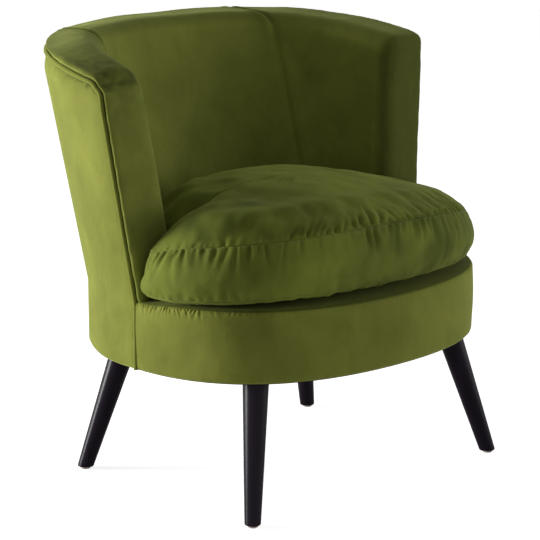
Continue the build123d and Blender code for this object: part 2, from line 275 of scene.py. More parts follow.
def modified(obj, kind, **values):
    """Applies one modifier with these settings."""
    set_up(obj.modifiers.new(kind, kind), **values)
    mesh = evaluated_mesh(obj)
    obj.modifiers.clear()
    old, obj.data = obj.data, mesh
    bpy.data.meshes.remove(old)
    mesh.polygons.foreach_set("use_smooth", [True] * len(mesh.polygons))
    return obj


def thicken(obj, thickness):
    """Gives a skin a thickness inwards."""
    return modified(obj, "SOLIDIFY", thickness=thickness, offset=-1)


def relax(obj):
    """Evens out voxel steps."""
    return modified(obj, "SMOOTH", iterations=4, factor=0.5)


def tube(name, path, radii, sides):
    """A round tube along a line of points that sets off upwards, with a radius for each point."""
    ahead = unit(np.gradient(path, axis=0))
    side = np.cross(ahead[0], (1, 0, 0))
    angles = np.linspace(0, 2 * pi, sides, endpoint=False)[:, None]
    rings = []
    for point, direction, radius in zip(path, ahead, radii):
        side = unit(side - direction * (side @ direction))
        up = np.cross(direction, side)
        rings.append(point + radius * (np.cos(angles) * side + np.sin(angles) * up))
    return mesh_object(name, np.concatenate(rings), bar_faces(0, len(path), sides))


def skin_of(name, names, voxel):
    """The outer skin of several CAD nodes taken together, as one even and smooth mesh."""
    merged = bmesh.new()
    for node in names:
        merged.from_mesh(nodes[node].data)
    mesh = bpy.data.meshes.new(name)
    merged.to_mesh(mesh)
    merged.free()
    obj = link(bpy.data.objects.new(name, mesh))
    modified(obj, "REMESH", mode="VOXEL", voxel_size=voxel)
    keep_largest(obj)
    return relax(obj)


def keep_largest(obj):
    """Removes every island of faces but the one with the most vertices."""
    mesh = obj.data
    count = len(mesh.vertices)
    edges = np.empty(len(mesh.edges) * 2, int)
    mesh.edges.foreach_get("vertices", edges)
    edges = edges.reshape(-1, 2)
    label = np.arange(count)
    while True:
        low = np.minimum(label[edges[:, 0]], label[edges[:, 1]])
        fresh = label.copy()
        np.minimum.at(fresh, edges[:, 0], low)
        np.minimum.at(fresh, edges[:, 1], low)
        fresh = fresh[fresh]
        if np.array_equal(fresh, label):
            break
        label = fresh
    names, sizes = np.unique(label, return_counts=True)
    largest = names[np.argmax(sizes)]
    work = bmesh.new()
    work.from_mesh(mesh)
    work.verts.ensure_lookup_table()
    bmesh.ops.delete(work, geom=[work.verts[i] for i in np.nonzero(label != largest)[0]], context="VERTS")
    work.to_mesh(mesh)
    work.free()


def swell(obj, held, pressure, slack, cap, frames):
    """Cloth with air pressure inside.

    held: how firmly each vertex stays, slack: the extra cloth, cap: how far a vertex may move.
    """
    start = coords(obj)
    group = obj.vertex_groups.new(name="held")
    for level in np.unique(np.round(held, 2)):
        if level > 0:
            members = np.nonzero(np.round(held, 2) == level)[0]
            group.add([int(i) for i in members], float(level), "REPLACE")
    cloth = obj.modifiers.new("cloth", "CLOTH")
    set_up(cloth.settings, quality=6, mass=0.15, vertex_group_mass="held", pin_stiffness=1)
    set_up(cloth.settings, tension_stiffness=12, compression_stiffness=12)
    set_up(cloth.settings, shear_stiffness=4, bending_stiffness=0.4)
    set_up(cloth.settings, use_pressure=True, uniform_pressure_force=pressure, shrink_min=-slack)
    set_up(cloth.collision_settings, use_self_collision=False, use_collision=False)
    cloth.settings.effector_weights.gravity = 0
    scene = bpy.context.scene
    for number in range(1, frames + 1):
        scene.frame_set(number)
    moved_mesh = evaluated_mesh(obj)
    step = vertex_values(moved_mesh, "co") - start
    bpy.data.meshes.remove(moved_mesh)
    obj.modifiers.clear()
    obj.vertex_groups.clear()
    scene.frame_set(1)
    length = np.linalg.norm(step, axis=1)
    step *= np.minimum(1, cap / np.maximum(length, 1e-9))[:, None]
    set_coords(obj, start + step)


# ---- materials
def new_material(name):
    material = bpy.data.materials.new(name)
    material.use_nodes = True
    tree = material.node_tree
    return material, tree, tree.nodes["Principled BSDF"]


def add(tree, kind, **values):
    return set_up(tree.nodes.new("ShaderNode" + kind), **values)


def dial(node, **values):
    """Sets constants on a node's own sockets; an underscore in a key stands for a space."""
    for key, value in values.items():
        node.inputs[key.replace("_", " ")].default_value = value


def wire(source, output, target, socket):
    source.id_data.links.new(source.outputs[output], target.inputs[socket])


def noise_texture(tree, scale, detail=4.0, roughness=0.55, distortion=0.0, stretch=None):
    place = add(tree, "TexCoord")
    texture = add(tree, "TexNoise")
    dial(texture, Scale=scale, Detail=detail, Roughness=roughness, Distortion=distortion)
    if stretch:
        mapping = add(tree, "Mapping")
        dial(mapping, Scale=stretch)
        wire(place, "Object", mapping, "Vector")
        wire(mapping, "Vector", texture, "Vector")
    else:
        wire(place, "Object", texture, "Vector")
    return texture


def ramp(tree, source, output, stops):
    node = add(tree, "ValToRGB")
    elements = node.color_ramp.elements
    while len(elements) < len(stops):
        elements.new(0.5)
    for element, (position, colour) in zip(elements, stops):
        element.position = position
        element.color = (*colour, 1)
    wire(source, output, node, "Fac")
    return node


def bumps(tree, shader, layers):
    """Stacks bump layers: (node, its height output, strength, distance)."""
    last = None
    for source, output, strength, distance in layers:
        node = add(tree, "Bump")
        dial(node, Strength=strength, Distance=distance)
        wire(source, output, node, "Height")
        if last:
            wire(last, "Normal", node, "Normal")
        last = node
    wire(last, "Normal", shader, "Normal")


def velvet(name, dark, light, sheen=0.55):
    """Short-pile cut velvet: mottled tone, fine pile, soft sheen at grazing angles; a vertex attribute
    darkens it where shade is painted.
    """
    material, tree, shader = new_material(name)
    brushed = noise_texture(tree, 7, 3, 0.5, 0.8)
    pile = noise_texture(tree, 900, 3, 0.6)
    crush = noise_texture(tree, 34, 4, 0.6, 0.5, (1, 1, 0.6))
    clouds = add(tree, "Mix", data_type="FLOAT")
    dial(clouds, Factor=0.3)
    wire(brushed, "Fac", clouds, "A")
    wire(crush, "Fac", clouds, "B")
    colours = ramp(tree, clouds, "Result", [(0.28, dark), (0.72, light)])
    grain = add(tree, "Mix", data_type="RGBA", blend_type="MULTIPLY")
    dial(grain, Factor=0.35)
    speckle = ramp(tree, pile, "Fac", [(0.35, (0.55, 0.55, 0.5)), (0.65, (1, 1, 1))])
    wire(colours, "Color", grain, "A")
    wire(speckle, "Color", grain, "B")
    # painted shade: a vertex attribute, set per object below, multiplies the colour darker where shade is
    # painted
    shade_marks = add(tree, "Attribute", attribute_name="shade_and_nap")
    turned = add(tree, "Mix", data_type="RGBA", blend_type="MULTIPLY")
    dial(turned, B=(0.3, 0.32, 0.2, 1))
    wire(shade_marks, "Fac", turned, "Factor")
    wire(grain, "Result", turned, "A")
    wire(turned, "Result", shader, "Base Color")
    dial(
        shader,
        Roughness=0.85,
        Specular_IOR_Level=0.15,
        Sheen_Weight=sheen,
        Sheen_Roughness=0.35,
        Sheen_Tint=(0.7, 0.78, 0.24, 1),
    )
    bumps(tree, shader, [(crush, "Fac", 0.25, 0.004), (pile, "Fac", 0.35, 0.0006)])
    return material


def satin_black(name):
    material, tree, shader = new_material(name)
    flow = noise_texture(tree, 60, 4, 0.6, 0.2, (1, 1, 0.12))
    colours = ramp(tree, flow, "Fac", [(0.3, (0.0065, 0.0035, 0.008)), (0.8, (0.012, 0.0068, 0.015))])
    wire(colours, "Color", shader, "Base Color")
    shine = ramp(tree, flow, "Fac", [(0.2, (0.27,) * 3), (0.8, (0.35,) * 3)])
    wire(shine, "Color", shader, "Roughness")
    dial(shader, Specular_IOR_Level=0.11)
    bumps(tree, shader, [(flow, "Fac", 0.08, 0.0008)])
    return material


def plain_surface(name, dark, light, scale, roughness, metallic=0.0, stretch=None, bump=0.15):
    """A surface with fine mottling, grain or cells."""
    material, tree, shader = new_material(name)
    grain = noise_texture(tree, scale, 5, 0.6, 0.1, stretch)
    colours = ramp(tree, grain, "Fac", [(0.32, dark), (0.68, light)])
    wire(colours, "Color", shader, "Base Color")
    dial(shader, Roughness=roughness, Metallic=metallic)
    bumps(tree, shader, [(grain, "Fac", bump, 0.001)])
    return material


def woven(name, dark, light, pitch):
    """A woven strip: two crossing sets of ribs."""
    material, tree, shader = new_material(name)
    place = add(tree, "TexCoord")
    both = add(tree, "Math", operation="MULTIPLY")
    for number, direction in enumerate(("X", "Y")):
        wave = add(tree, "TexWave", wave_type="BANDS", bands_direction=direction)
        dial(wave, Scale=pitch)
        wire(place, "Object", wave, "Vector")
        wire(wave, "Fac", both, number)
    colours = ramp(tree, both, "Value", [(0.1, dark), (0.8, light)])
    wire(colours, "Color", shader, "Base Color")
    dial(shader, Roughness=0.9)
    bumps(tree, shader, [(both, "Value", 0.4, 0.0005)])
    return material


velvet_body = velvet("velvet", (0.14, 0.155, 0.021), (0.246, 0.268, 0.044))
# painted shade: the deck under the cushion gets a darker copy of the velvet
velvet_deck_painted_shade = velvet("velvet_deck_painted_shade", (0.06, 0.072, 0.008), (0.1, 0.115, 0.014), sheen=0.15)
# painted light: a slightly lighter copy of the velvet for the padded back, lifting its shaded inside
velvet_inner_lightened = velvet("velvet_inner_lightened", (0.139, 0.156, 0.0235), (0.255, 0.282, 0.048), sheen=0.3)
velvet_seat = velvet("velvet_seat", (0.118, 0.141, 0.0175), (0.232, 0.271, 0.037), sheen=0.16)
velvet_trim = velvet("velvet_piping", (0.15, 0.165, 0.022), (0.22, 0.24, 0.036), sheen=0.6)
thread = plain_surface("thread", (0.1, 0.12, 0.035), (0.16, 0.185, 0.06), 900, 0.6)
tape = woven("zip_tape", (0.035, 0.06, 0.005), (0.08, 0.13, 0.012), 420)
antique = plain_surface("antiqued_metal", (0.05, 0.042, 0.03), (0.115, 0.098, 0.072), 250, 0.5, 1.0)
SLOT_MATERIALS = {
    "velvet": velvet_body,
    "foam": plain_surface("foam", (0.72, 0.68, 0.5), (0.85, 0.81, 0.64), 700, 0.95, bump=0.5),
    "wadding": plain_surface("fibre", (0.8, 0.8, 0.78), (0.92, 0.92, 0.9), 260, 1.0, 0.0, (1, 1, 4), 0.4),
    "hardboard": plain_surface("hardboard", (0.17, 0.09, 0.045), (0.27, 0.16, 0.08), 500, 0.75),
    "frame_timber": plain_surface("birch", (0.5, 0.34, 0.19), (0.68, 0.5, 0.31), 40, 0.6, 0.0, (1, 1, 9)),
    "webbing": woven("webbing", (0.03, 0.03, 0.028), (0.1, 0.095, 0.085), 120),
    "underside_cloth": woven("underside_cloth", (0.006, 0.006, 0.006), (0.022, 0.022, 0.022), 220),
    "black_satin": satin_black("black_satin"),
    "glide_plastic": plain_surface("glide_nylon", (0.5, 0.4, 0.36), (0.62, 0.52, 0.47), 300, 0.45),
    "zinc_steel": plain_surface("zinc", (0.5, 0.51, 0.53), (0.66, 0.67, 0.7), 350, 0.38, 1.0),
    "zip_tape": tape,
    "slider_metal": antique,
}
for part in frame["record"]["subparts"]:
    node = nodes[part["node"]]
    node.data.materials.clear()
    node.data.materials.append(SLOT_MATERIALS[part["material_slot"]])


def mark_shade_and_nap(obj, amounts):
    """How much each vertex is darkened: mostly painted shade, in places made uneven by random noise."""
    attribute = obj.data.attributes.new("shade_and_nap", "FLOAT", "POINT")
    attribute.data.foreach_set("value", np.clip(amounts, 0, 1).astype(np.float32))


def dress(obj, material, body):
    obj.data.materials.clear()
    obj.data.materials.append(material)
    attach(obj, body)
    return obj


# ---- piping
def edge_path(inset, cover_inset):
    """Points along the back's edge from its foot on the +X side over the top to its foot on the -X side."""
    centre_y, centre_z, radius = corner_of(inset)
    lean_angle = atan2(LEAN, 1)
    foot = (centre_y - radius * cos(lean_angle), centre_z + radius * sin(lean_angle))
    start_angle = pi - lean_angle
    end_angle = atan2(centre_z - ARC_CENTRE, centre_y - REAR_Y)
    half = []
    for height in np.arange(BASE_BOTTOM + 0.001, foot[1], 0.004):
        half.append((front_line(height, inset), height))
    for angle in np.linspace(start_angle, end_angle, 24):
        half.append((centre_y + radius * cos(angle), centre_z + radius * sin(angle)))
    points = []
    for along, height in half:
        place = place_at(along, height, cover_inset)
        x, y = outline(place, height, cover_inset)
        points.append((x, y, height))
    last_place = place_at(*half[-1], cover_inset)
    for place in np.linspace(last_place, 0, 150)[1:]:
        height = half[-1][1]
        for _ in range(8):
            _, y = outline(place, height, cover_inset)
            height = ARC_CENTRE + sqrt((TOP_ARC - inset) ** 2 - (y - REAR_Y) ** 2)
        x, y = outline(place, height, cover_inset)
        points.append((x, y, height))
    right = np.array(points)
    left = right[:-1] * (-1, 1, 1)
    return np.concatenate([right, left[::-1]])


def respaced(path, spacing):
    """The same line with its points evenly spaced."""
    lengths = arc_lengths(path)
    count = max(2, int(lengths[-1] / spacing))
    wanted = np.linspace(0, lengths[-1], count)
    return np.stack([np.interp(wanted, lengths, path[:, axis]) for axis in range(3)], axis=1)


pipe_path = respaced(edge_path(PIPE_LINE, 0.0012), 0.0035)
pipe_tree = KDTree(len(pipe_path))
for number, spot in enumerate(pipe_path):
    pipe_tree.insert(spot, number)
pipe_tree.balance()


def distance_to_piping(points):
    return np.array([pipe_tree.find(point)[2] for point in points])


REAR_LEFT = (-0.94, 0.34)  # plan direction in which the crest sags most
CREST_FROM, CREST_OVER = 0.66, 0.07  # heights between which the sag sets in
CREST_SAG, CREST_DRAWN_IN = 0.0115, 0.0085
RIGHT_FULLER, LEFT_FULLER = 1.0, -0.5  # how far the front corners go from round to square


def settled(points, to_piping):
    """The crest sags a little, most at the rear left; the front corner is squarer at +X than at -X."""
    x, y, z = points.T
    high = smoothed(fade(z, CREST_FROM, CREST_OVER))
    plan = unit(points[:, :2] - (0, PLAN_CENTRE_Y))
    to_rear_left = bump_curve(np.arccos(np.clip(plan @ REAR_LEFT, -1, 1)), 1.0)
    centre_y, centre_z, radius = corner_of(0)
    turn = np.arctan2(z - centre_z, centre_y - y)
    reach = np.hypot(y - centre_y, z - centre_z)
    within = np.clip(turn, 0, pi / 2)
    squared = (np.cos(within) ** 6 + np.sin(within) ** 6) ** (-1 / 6) - 1
    fuller = np.where(x > 0, RIGHT_FULLER, LEFT_FULLER)
    fullness = squared * radius * np.clip(reach / radius, 0, 1.1) ** 2 * fuller
    moved = points.copy()
    drawn_in = CREST_DRAWN_IN * high * bump_curve(to_piping, 0.024) * (0.3 + 0.7 * to_rear_left)
    moved[:, :2] -= drawn_in[:, None] * plan
    moved[:, 1] -= fullness * np.cos(turn)
    sag = high * bump_curve(to_piping, 0.045) * (0.0008 + CREST_SAG * to_rear_left)
    moved[:, 2] += np.where(x > 0, 0.25, 1) * fullness * np.sin(turn) - sag
    return moved


pipe_sizes = PIPE_RADIUS * (1 + 0.035 * smooth_noise(pipe_path, 0.05, 11))
piping = tube("piping", settled(pipe_path, np.zeros(len(pipe_path))), pipe_sizes, sides=14)
dress(piping, velvet_trim, "chair")
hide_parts("back_piping")

# ---- padded back
COVERS = ["inside_back_cover_left", "inside_back_cover_middle", "inside_back_cover_right"]
# strength of the painted shade on the right arm's front face, and of the random darker patches at the left
# arm's top corner
RIGHT_FRONT_SHADE, ARM_CORNER_MARK = 0.8, 0.5
BACK_SOLIDS = [*COVERS, "back_foam", "outer_wadding", "outer_back_board", "inner_back_board"]
back = skin_of("padded_back", BACK_SOLIDS, 0.0045)
modified(back, "SUBSURF", levels=1, render_levels=1)
points = coords(back)
facing = normals(back)
x, y, z = points.T
above = fade(z, 0.38, 0.05)
seam_gap = np.abs(np.abs(x) - PANEL_SEAM)
groove = 0.003 * bump_curve(seam_gap, 0.0035) - 0.0012 * bump_curve(seam_gap - 0.01, 0.006)
rolls = 0.0012 * smooth_noise(points * (1, 1, 0.6), 0.16, 3)
to_piping = distance_to_piping(points)
beside_piping = 0.0036 * bump_curve(np.maximum(0, to_piping - PIPE_RADIUS), 0.0036)
from_middle = unit(points[:, :2] - (0, PLAN_CENTRE_Y))
faces_out = fade((facing[:, :2] * from_middle).sum(1), 0.3, 0.3)
to_edge = np.minimum(y - front_line(z, 0), top_line(y, 0) - z)
under_panel = faces_out * fade(to_edge, 0.017, 0.006)
move = (rolls * above - groove - beside_piping) * (1 - under_panel) - 0.0035 * under_panel
points = points + facing * move[:, None]
x, y, z = points.T
# painted shade: the right arm's front face and the up-facing crest and arm top, where less light falls, are
# darkened; the left arm's top corner also gets random darker patches
faces_front = fade(-facing[:, 1], 0.3, 0.4) * (y < WIDEST_Y + 0.09)
right_front = faces_front * (x > 0) * RIGHT_FRONT_SHADE
patches = np.clip(0.55 + 0.35 * smooth_noise(points, 0.05, 61) + 0.25 * smooth_noise(points, 0.018, 62), 0, 1)
arm_top = fade(x, -0.18, -0.06) * fade(y, 0.2, -0.12)
arm_corner = arm_top * fade(y, 0.11, -0.08)
crest_shade = fade(facing[:, 2], 0.4, 0.4) * (1 - arm_top) * (0.4 + 0.42 * bump_curve(to_piping, 0.04))
crest_shade += fade(facing[:, 2], 0.3, 0.3) * arm_top * (0.25 + 0.35 * patches)
corner_patch = arm_corner * fade(z, 0.6, 0.09) * fade(facing[:, 0], -0.5, 0.5)
mark_shade_and_nap(back, np.maximum(right_front, crest_shade) + ARM_CORNER_MARK * corner_patch * patches)
set_coords(back, settled(points, to_piping))
dress(back, velvet_inner_lightened, "chair")
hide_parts(*COVERS, "back_foam", "outer_wadding")

# ---- outside back panel
def outside_panel():
    columns = 361
    rows = 121
    across = np.sin(np.linspace(-1, 1, columns) * pi / 2)
    ease_both = 0.5 - 0.5 * np.cos(np.linspace(0, pi, rows))
    levels = np.linspace(BASE_BOTTOM, 0.8, 900)
    front_places = np.array([place_at(front_line(z, PIPE_LINE), z) for z in levels])
    grid = np.empty((rows, columns, 3))
    edge = np.empty((rows, columns))
    for index, share in enumerate(across):
        places = share * front_places
        x, y = outline(places, levels)
        over = levels - top_line(y, PIPE_LINE)
        stop = int(np.argmax(over > 0))
        step = -over[stop - 1] / (over[stop] - over[stop - 1])
        top = levels[stop - 1] + step * (levels[stop] - levels[stop - 1])
        heights = BASE_BOTTOM + (top - BASE_BOTTOM) * (0.35 * ease_both + 0.65 * np.linspace(0, 1, rows))
        column = share * np.interp(heights, levels, front_places)
        x, y = outline(column, heights)
        grid[:, index] = np.stack([x, y, heights], 1)
        edge[:, index] = np.minimum(y - front_line(heights, PIPE_LINE), top_line(y, PIPE_LINE) - heights)
    points = grid.reshape(-1, 3)
    obj = mesh_object("outside_back", points, grid_faces(rows, columns))
    facing = outward_normals(obj)
    edge = edge.ravel()
    tucked = -0.0034 * bump_curve(edge, 0.0028) - 0.0016 * bump_curve(edge, 0.01)
    waves = 0.0011 * smooth_noise(points * (1, 1, 0.35), 0.12, 5)
    bottom = points[:, 2] - BASE_BOTTOM
    turned = -0.004 * bump_curve(bottom, 0.005)
    set_coords(obj, points + facing * (tucked + turned + waves * fade(edge, 0, 0.03))[:, None])
    thicken(obj, 0.0015)
    points = coords(obj)
    _, y, z = points.T
    to_front = y - front_line(z, PIPE_LINE)
    to_top = top_line(y, PIPE_LINE) - z
    # painted shade: a ragged darker band just under the top piping and beside the front edge, where the cover
    # turns in to the piping
    ragged = 1 + 0.45 * smooth_noise(points, 0.012, 41) + 0.3 * smooth_noise(points, 0.05, 42)
    ragged = np.maximum(0.35, ragged)
    arm = fade(to_front, 0.14, -0.09)
    under_piping = np.clip(1.35 - to_top / (0.011 * ragged), 0, 1) * (0.35 + 0.65 * arm)
    low = fade(z, 0.4, -0.03)
    beside_edge = np.clip(1.3 - to_front / (0.005 * ragged), 0, 1) * (0.45 + 0.4 * low)
    mark_shade_and_nap(obj, np.maximum(under_piping, beside_edge))
    set_coords(obj, settled(points, distance_to_piping(points)))
    return obj


outside = outside_panel()
dress(outside, velvet_body, "chair")
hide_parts("outside_back_cover")

# ---- seat base
def gathers(field, along, away, span, pitch, width, depth, length, lean, draws, drift=0.0):
    """Adds valleys that leave a seam, with a roll on each side.

    along: the way along the seam, away: the distance from it, lean and drift: how far they slant.
    """
    rise = np.clip(away, 0, None)
    beyond = away > 0
    place = span[0]
    while place < span[1]:
        place += pitch * draws.uniform(0.55, 1.5)
        wide = width * draws.uniform(0.7, 1.5)
        deep = depth * draws.uniform(0.35, 1.25)
        long = length * draws.uniform(0.5, 1.4)
        slant = drift + lean * draws.uniform(-1, 1)
        near = np.nonzero(np.abs(along - place) < 12 * wide + abs(slant) * 3 * long)[0]
        offset = along[None, near] - place - slant * rise[:, None]
        spread = wide * (1 + 0.8 * rise[:, None] / long)
        strength = ((1 - np.exp(-rise / 0.0014)) * bump_curve(rise, long) * beyond)[:, None]
        beside = bump_curve(np.abs(offset) - 1.9 * spread, spread)
        field[:, near] += deep * strength * (0.45 * beside - bump_curve(offset, spread))


def seam_shift(x, y):
    """The seam between band and deck dips beside the back's front edges and a little in the front middle."""
    return -0.0055 * bump_curve(y - WIDEST_Y, 0.045) - 0.002 * bump_curve(x, 0.15)


def base_surface(name, profile, hidden_inset):
    """A skin round the seat base through (inset, height) points.

    hidden_inset: how far inside it runs where the back covers it; None makes a skin that stops at the piping.
    """
    columns = 1441
    profile = np.array(profile)
    rows = len(profile)
    start = place_at(front_line(BEND, PIPE_LINE - 0.002), BEND)
    whole = hidden_inset is not None
    across = np.linspace(-1, 1, columns)[: -1 if whole else None]
    grid = np.empty((rows, len(across), 3))
    for row, (inset, height) in enumerate(profile):
        level = min(height, BEND)
        if whole:
            place = across * 2
            place = np.where(np.abs(place) < 1e-9, 1e-9, place)
            _, line_y = outline(place, level, inset)
            behind = fade(line_y - front_line(BEND, 0), 0.002, 0.004)
            drawn_in = inset + behind * np.maximum(0, hidden_inset - inset)
            x, y = outline(place, level, drawn_in)
        else:
            place = np.sign(across) * (2 - np.abs(across) * (2 - start))
            place = np.where(np.abs(across) < 1e-9, 2.0, place)
            x, y = outline(place, level, inset)
        grid[row] = np.stack([x, y, np.full(len(x), height)], 1)
    near_top = fade(profile[:, 1], 0.3, 0.045) * fade(profile[:, 0], 0.05, -0.035)
    grid[:, :, 2] += seam_shift(grid[-1, :, 0], grid[0, :, 1])[None, :] * near_top[:, None]
    points = grid.reshape(-1, 3)
    faces = grid_faces(rows, len(across), closed=whole)
    if whole:
        faces += fan(range(len(points) - len(across), len(points)), len(points))
        points = np.vstack([points, grid[-1].mean(0)])
    obj = mesh_object(name, points, faces)
    facing = outward_normals(obj)
    field = 0.0009 * smooth_noise(grid.reshape(-1, 3), 0.11, 22).reshape(rows, -1)
    field *= (fade(profile[:, 1], 0.232, 0.02) * (profile[:, 1] < 0.343))[:, None]
    if not whole:
        line_along = arc_lengths(grid[rows // 2])
        line_along -= line_along[-1] / 2
        end = line_along[-1]
        draws = np.random.default_rng(8)
        away = SEAM_HEIGHT - profile[:, 1]
        by_arm, between_arms = (0.0056, 0.0014, 0.0017, 0.011, 0.4), (0.006, 0.0015, 0.0007, 0.006, 0.5)
        gathers(field, line_along, away, (-end, -end + 0.13), *by_arm, draws)
        gathers(field, line_along, away, (-end + 0.13, end - 0.13), *between_arms, draws)
        gathers(field, line_along, away, (end - 0.13, end), *by_arm, draws)
    field = np.pad(field.ravel(), (0, len(points) - field.size))
    set_coords(obj, points + facing * field[:, None])
    return thicken(obj, CLOTH)


band_profile = [(0.014, 0.2285), (0.008, 0.2283), (0.004, 0.2295)]
band_profile += [(0.0012, 0.2325), (0.0002, 0.237), (0, 0.245)]
for level in (*np.linspace(0.252, 0.33, 14), *np.linspace(0.3315, 0.342, 8)):
    band_profile.append((-0.0012 * sin(pi * (level - 0.245) / 0.098), level))
band_profile += [(0.0001, 0.3432), (0.0004, 0.345), (0.0009, 0.3466), (0.0019, 0.348), (0.0036, 0.3491)]
band_profile += [(0.0056, SEAM_HEIGHT)]
band = base_surface("seat_band", band_profile, None)
dress(band, velvet_body, "chair")
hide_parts("seat_band_cover", "base_padding")

lip_profile = [(0.0058, 0.349), (0.004, 0.3494), (0.0029, 0.3501), (0.0026, 0.3509), (0.0032, 0.3517)]
lip_profile += [(0.0052, 0.3523), (0.0085, 0.3526), (0.016, 0.3525), (0.03, 0.3522), (0.06, 0.352)]
lip_profile += [(inset, 0.352) for inset in (0.1, 0.16, 0.22, 0.26)]
deck = base_surface("seat_deck", lip_profile, 0.05)
dress(deck, velvet_deck_painted_shade, "chair")
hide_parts("deck_cover", "deck_padding")

# ---- loose cushion
CUSHION = [f"cushion_{part}" for part in ("top_panel", "boxing", "bottom_panel", "zip", "wrap", "foam")]
SEAM_RISE = TOP_SEAM - CUSHION_BASE
CROWN_RISE = 0.048
SQUARENESS = 2.5
BULGE_RISE = 0.055
CROWN_FADE = 0.055  # height over the top seam up to which the crown follows the seam's rise and fall
NECK_ROUNDS = 90


def side_tuck(rise):
    """How far the boxing lies inside its widest line at a height over the underside."""
    if rise > BULGE_RISE:
        return 0.007 * ((rise - BULGE_RISE) / (SEAM_RISE - BULGE_RISE)) ** 2.6
    seam_rise = BOTTOM_SEAM - CUSHION_BASE
    low = 0.005 * ((BULGE_RISE - rise) / (BULGE_RISE - seam_rise)) ** 2.2
    return low + 0.011 * max(0, 1 - rise / seam_rise) ** 2


def bezier(a, b, c, d, count):
    t = np.linspace(0, 1, count, endpoint=False)[:, None]
    a, b, c, d = (np.asarray(v, float) for v in (a, b, c, d))
    return (1 - t) ** 3 * a + 3 * t * (1 - t) ** 2 * b + 3 * t * t * (1 - t) * c + t**3 * d


def arc_points(centre, radius, start, end, count):
    turn = np.radians(np.linspace(start, end, count, endpoint=False))
    return np.stack([centre[0] + radius * np.cos(turn), centre[1] + radius * np.sin(turn)], 1)


def cushion_section(tuck, size, fill):
    """The T-shaped outline, from the front middle round by the +X side to the rear middle and back."""
    widest = HALF_WIDTH - CUSHION_INSET - tuck
    between_walls = HALF_WIDTH - WALL - WALL_GAP - tuck
    faded = EAR_FADE * fill
    wide = widest - (widest - between_walls) * faded / 2
    narrow = between_walls + (widest - between_walls) * faded / 2
    front = WIDEST_Y - FRONT_REACH + CUSHION_INSET + tuck
    back = WIDEST_Y + EAR_REACH - tuck
    shoulder = back + (front - back) * SHOULDER_FULLNESS
    ear = max(EAR_RADIUS - tuck / 2, EAR_RADIUS / 3) * (1 - faded)
    neck = (0.016 + tuck / 2) * (1 - faded)
    arc = ZIP_RADIUS - tuck
    turn = radians(ZIP_TURN)
    end_x, end_y = arc * sin(turn), ZIP_CENTRE_Y + arc * cos(turn)
    start = back + neck
    side = start + (end_y - start) * 0.3
    pull = (narrow - end_x) * 0.7
    towards_end = (end_x + cos(turn) * pull, end_y - sin(turn) * pull)
    parts = [
        bezier((0, front), (wide * FRONT_FULLNESS, front), (wide, shoulder), (wide, back - ear), 172),
        arc_points((wide - ear, back - ear), ear, 0, 90, 10),
        bezier(*np.linspace((wide - ear, back), (narrow + neck, back), 4), 22),
        arc_points((narrow + neck, back + neck), -neck, 90, 0, 12),
        bezier((narrow, start), (narrow, side), towards_end, (end_x, end_y), 80),
        arc_points((0, ZIP_CENTRE_Y), arc, 90 - ZIP_TURN, 90, 40),
    ]
    right = np.concatenate(parts)
    tip = np.array([[0, ZIP_CENTRE_Y + arc]])
    left = right[1:][::-1] * (-1, 1)
    points = np.concatenate([right, tip, left])
    middle = (front + ZIP_CENTRE_Y + arc) / 2
    return (points - (0, middle)) * size + (0, middle)


def cushion_rows():
    """Level sections from the middle of the underside round the side and over the crown to its middle."""
    rows = []
    for size in (0.04, 0.2, 0.4, 0.6, 0.75, 0.85, 0.92, 0.96, 0.985):
        rows.append((0.016, size, 0.0, CUSHION_BASE))
    near = [0, 0.0006, 0.0013, 0.0021, 0.0031, 0.0043]
    levels = {0.0, 0.0015, 0.003}
    for seam in (0.008, SEAM_RISE):
        levels |= {seam - step for step in near}
        levels |= {seam + step for step in near if seam < 0.05}
    levels |= set(np.linspace(0.015, SEAM_RISE - 0.0065, 34))
    for level in sorted(levels):
        rows.append((side_tuck(level), 1.0, 0.0, CUSHION_BASE + level))
    for angle in [0.12, 0.35, 0.7, 1.2, 1.9, 2.8, *np.linspace(4, 89, 62)]:
        dome = sin(radians(angle)) ** (2 / SQUARENESS)
        size = cos(radians(angle)) ** (2 / SQUARENESS)
        fill = float(np.interp(size, (0.12, 0.45, 0.78, 0.94, 1), (1, 0.7, 0.3, 0.08, 0)))
        rows.append((0.007, size, fill, TOP_SEAM + CROWN_RISE * dome))
    return rows


def angle_round(points):
    """The angle round the cushion's middle from the front, the same to both sides."""
    return np.abs(np.arctan2(points[:, 0], CUSHION_MIDDLE_Y - points[:, 1]))


def distance_to_ear(points):
    return np.hypot(np.abs(points[:, 0]) - (HALF_WIDTH - 0.01), points[:, 1] - WIDEST_Y)


def seam_lift(points):
    """The top seam dips towards the ears, most at their corners, and rises towards the front."""
    turn = np.clip(angle_round(points) / (pi / 2), 0, 1.2)
    return 0.01 - 0.034 * turn**2.2 - 0.007 * bump_curve(distance_to_ear(points), 0.05)


def base_lift(points):
    """The bottom seam stands clear of the deck along the front, most in its middle."""
    angle = angle_round(points)
    uneven = 1 + 0.1 * smooth_noise(np.stack([angle * 0.3, points[:, 0] * 0.2, 0 * angle], 1), 0.03, 51)
    return 0.015 * uneven * np.clip(1 - (angle / radians(82)) ** 2.5, 0, 1)


def around(points, place, width):
    """1 at the edge at an angle in degrees round from the front, falling to 0 to both sides and inwards."""
    centred = points[:, :2] - (0, CUSHION_MIDDLE_Y)
    angle = np.arctan2(centred[:, 0], -centred[:, 1])
    share = fade(np.linalg.norm(centred, axis=1), 0, CUSHION_REACH) ** 1.6
    return bump_curve(angle - radians(place), radians(width)) * share


